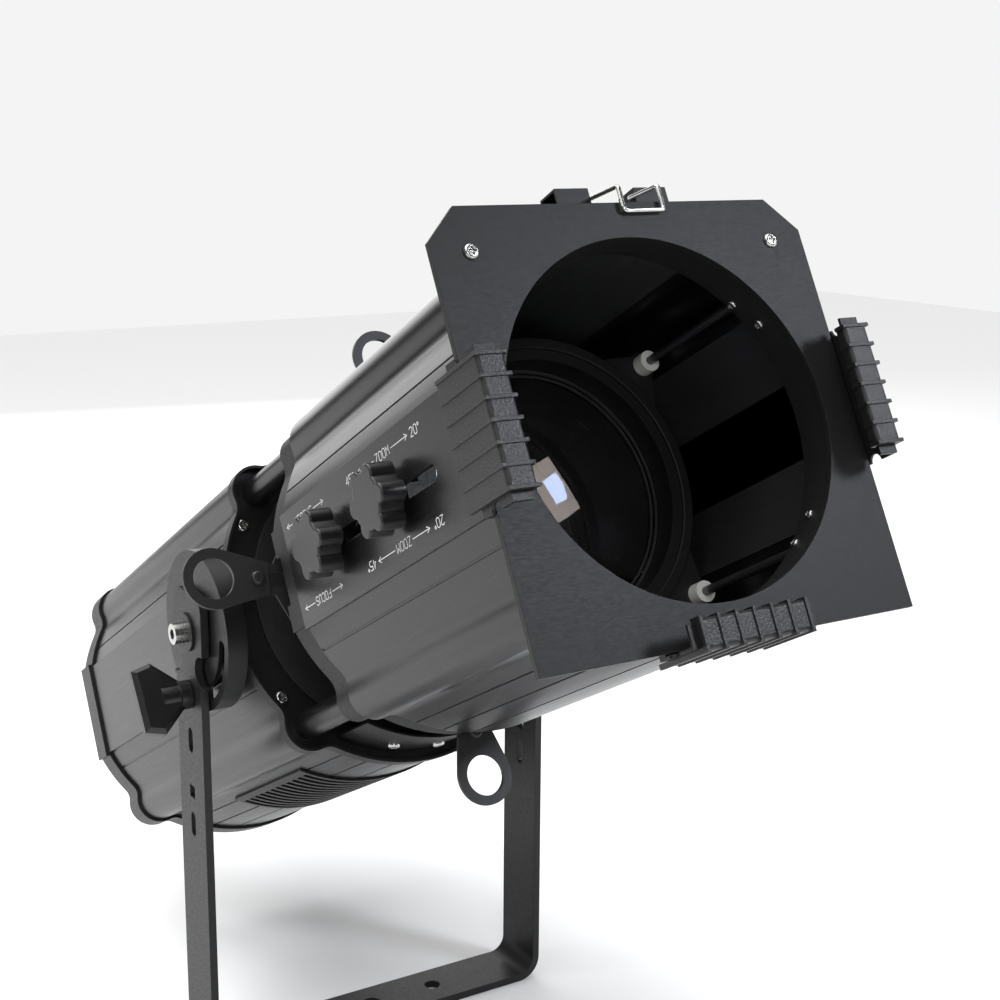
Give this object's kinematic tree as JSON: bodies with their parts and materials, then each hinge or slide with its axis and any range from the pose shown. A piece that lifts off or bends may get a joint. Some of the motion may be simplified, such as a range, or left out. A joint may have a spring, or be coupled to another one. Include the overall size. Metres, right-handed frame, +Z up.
{
  "type": "profile spotlight",
  "caption": "Zoom profile spotlight with a lobed fluted body, framing shutters with finger rings, zoom and focus knobs, a gel-frame holder and a U yoke.",
  "frame": {"origin": "centre of the hanging bore on the underside of the yoke base", "axes": "+Z up along the yoke arms, the light points to -Y and 28.1 degrees up at rest, +X to the right seen from the front; the tilt axis is along X"},
  "size_m": [0.3168, 0.7005, 0.5663],
  "materials": {
    "black_extrusion": "semi-gloss black coat on fluted aluminium extrusion",
    "black_sheet": "satin black powder coat on sheet steel",
    "black_plate": "fine matt black coat on aluminium sheet",
    "yoke_steel": "satin black powder coat on flat steel bar",
    "bright_screw": "bright zinc plate",
    "grip_plastic": "textured black moulding",
    "cap_plastic": "fine textured black moulding",
    "knob_plastic": "satin black moulding",
    "dark_casting": "matt black painted casting",
    "rod_steel": "ground steel, dark",
    "white_nylon": "white nylon",
    "lens_glass": "clear glass with a faint blue coating",
    "wire_steel": "bright spring wire",
    "shutter_steel": "black heat-proof coat on stainless sheet",
    "bare_aluminium": "raw extruded aluminium",
    "led_board": "ceramic board with yellow phosphor",
    "fan_plastic": "black moulding",
    "driver_case": "potted driver, grey case",
    "panel_plastic": "gloss black bezel",
    "button_rubber": "grey rubber",
    "connector_plastic": "black moulding"
  },
  "bodies": {
    "yoke": {"yoke_bar": "yoke_steel", "pivot_bolts": "bright_screw", "pivot_washers": "bright_screw", "friction_discs": "white_nylon", "lock_studs": "bright_screw"},
    "wing_knob_left": {"wing_knob_left": "knob_plastic"},
    "wing_knob_right": {"wing_knob_right": "knob_plastic"},
    "lamp_body": {"tilt_brackets": "black_sheet", "front_barrel": "black_extrusion", "front_ring": "dark_casting", "colour_frame": "black_plate", "case_screws": "bright_screw", "holder_left": "black_sheet", "holder_right": "black_sheet", "holder_bottom": "black_sheet", "grip_left": "grip_plastic", "grip_right": "grip_plastic", "grip_bottom": "grip_plastic", "latch_brackets": "black_sheet", "guide_rods": "rod_steel", "corner_posts": "black_extrusion", "collar": "black_sheet", "gate_band": "dark_casting", "gate_plate_front": "black_sheet", "gate_housing": "dark_casting", "gate_pins": "rod_steel", "gate_covers": "black_sheet", "rear_body": "black_extrusion", "vent_grille": "black_sheet", "rear_cap": "cap_plastic", "condenser_lens": "lens_glass", "led_module": "led_board", "heatsink": "bare_aluminium", "fan_frame": "fan_plastic", "driver_box": "driver_case", "control_panel": "panel_plastic", "power_inlet": "connector_plastic", "data_sockets": "connector_plastic"},
    "latch_wire": {"latch_wire": "wire_steel"},
    "zoom_carriage": {"zoom_carriage": "dark_casting", "zoom_lens": "lens_glass", "zoom_bushings": "white_nylon"},
    "zoom_knob": {"zoom_knob": "knob_plastic"},
    "focus_carriage": {"focus_carriage": "dark_casting", "focus_lens": "lens_glass", "focus_bushings": "white_nylon"},
    "focus_knob": {"focus_knob": "knob_plastic"},
    "fan_rotor": {"fan_rotor": "fan_plastic"},
    "shutter_slider_left": {"shutter_slider_left": "white_nylon"},
    "shutter_left": {"shutter_left": "shutter_steel"},
    "shutter_slider_bottom": {"shutter_slider_bottom": "white_nylon"},
    "shutter_bottom": {"shutter_bottom": "shutter_steel"},
    "shutter_slider_top": {"shutter_slider_top": "white_nylon"},
    "shutter_top": {"shutter_top": "shutter_steel"},
    "shutter_slider_right": {"shutter_slider_right": "white_nylon"},
    "shutter_right": {"shutter_right": "shutter_steel"},
    "menu_button_1": {"menu_button_1": "button_rubber"},
    "menu_button_2": {"menu_button_2": "button_rubber"},
    "menu_button_3": {"menu_button_3": "button_rubber"},
    "menu_button_4": {"menu_button_4": "button_rubber"}
  },
  "joints": [
    {"name": "tilt", "type": "hinge", "parent": "yoke", "child": "lamp_body", "pos_m": [0, 0, 0.29], "axis": [-1, 0, 0], "range_deg": [-88, 31.8]},
    {"name": "wing_knob_left_turn", "type": "hinge", "parent": "yoke", "child": "wing_knob_left", "pos_m": [-0.13, 0, 0.25], "axis": [-1, 0, 0], "range_deg": [0, 270]},
    {"name": "wing_knob_right_turn", "type": "hinge", "parent": "yoke", "child": "wing_knob_right", "pos_m": [0.13, 0, 0.25], "axis": [1, 0, 0], "range_deg": [0, 270]},
    {"name": "latch_swing", "type": "hinge", "parent": "lamp_body", "child": "latch_wire", "pos_m": [0.0135, -0.24271, 0.55835], "axis": [-1, 0, 0], "range_deg": [0, 110]},
    {"name": "zoom_slide", "type": "slide", "parent": "lamp_body", "child": "zoom_carriage", "axis": [0, 0.8821, -0.471], "range_m": [-0.0365, 0.0215]},
    {"name": "zoom_knob_turn", "type": "hinge", "parent": "zoom_carriage", "child": "zoom_knob", "pos_m": [-0.115, -0.23817, 0.41717], "axis": [-1, 0, 0], "range_deg": [0, 270]},
    {"name": "focus_slide", "type": "slide", "parent": "lamp_body", "child": "focus_carriage", "axis": [0, 0.8821, -0.471], "range_m": [-0.026, 0.028]},
    {"name": "focus_knob_turn", "type": "hinge", "parent": "focus_carriage", "child": "focus_knob", "pos_m": [-0.115, -0.17069, 0.38114], "axis": [-1, 0, 0], "range_deg": [0, 270]},
    {"name": "fan_spin", "type": "hinge", "parent": "lamp_body", "child": "fan_rotor", "pos_m": [0, 0.09218, 0.24078], "axis": [0, 0.8821, -0.471], "continuous": true},
    {"name": "shutter_left_turn", "type": "hinge", "parent": "lamp_body", "child": "shutter_slider_left", "pos_m": [-0.072, -0.0876, 0.33677], "axis": [0, 0.8821, -0.471], "range_deg": [-15.5, 0.5]},
    {"name": "shutter_left_slide", "type": "slide", "parent": "shutter_slider_left", "child": "shutter_left", "axis": [0.9914, -0.0615, -0.1151], "range_m": [0, 0.03]},
    {"name": "shutter_bottom_turn", "type": "hinge", "parent": "lamp_body", "child": "shutter_slider_bottom", "pos_m": [0, -0.11869, 0.27175], "axis": [0, 0.8821, -0.471], "range_deg": [-8, 8]},
    {"name": "shutter_bottom_slide", "type": "slide", "parent": "shutter_slider_bottom", "child": "shutter_bottom", "axis": [0, 0.471, 0.8821], "range_m": [-0.011, 0.019]},
    {"name": "shutter_top_turn", "type": "hinge", "parent": "lamp_body", "child": "shutter_slider_top", "pos_m": [0, -0.04804, 0.39727], "axis": [0, 0.8821, -0.471], "range_deg": [-8, 8]},
    {"name": "shutter_top_slide", "type": "slide", "parent": "shutter_slider_top", "child": "shutter_top", "axis": [0, -0.471, -0.8821], "range_m": [-0.0065, 0.0235]},
    {"name": "shutter_right_turn", "type": "hinge", "parent": "lamp_body", "child": "shutter_slider_right", "pos_m": [0.072, -0.07913, 0.33225], "axis": [0, 0.8821, -0.471], "range_deg": [-8, 8]},
    {"name": "shutter_right_slide", "type": "slide", "parent": "shutter_slider_right", "child": "shutter_right", "axis": [-1, 0, 0], "range_m": [0, 0.03]},
    {"name": "menu_button_1_press", "type": "slide", "parent": "lamp_body", "child": "menu_button_1", "axis": [0, -0.8821, 0.471], "range_m": [0, 0.0008], "stiffness_N_per_m": 400},
    {"name": "menu_button_2_press", "type": "slide", "parent": "lamp_body", "child": "menu_button_2", "axis": [0, -0.8821, 0.471], "range_m": [0, 0.0008], "stiffness_N_per_m": 400},
    {"name": "menu_button_3_press", "type": "slide", "parent": "lamp_body", "child": "menu_button_3", "axis": [0, -0.8821, 0.471], "range_m": [0, 0.0008], "stiffness_N_per_m": 400},
    {"name": "menu_button_4_press", "type": "slide", "parent": "lamp_body", "child": "menu_button_4", "axis": [0, -0.8821, 0.471], "range_m": [0, 0.0008], "stiffness_N_per_m": 400}
  ]
}
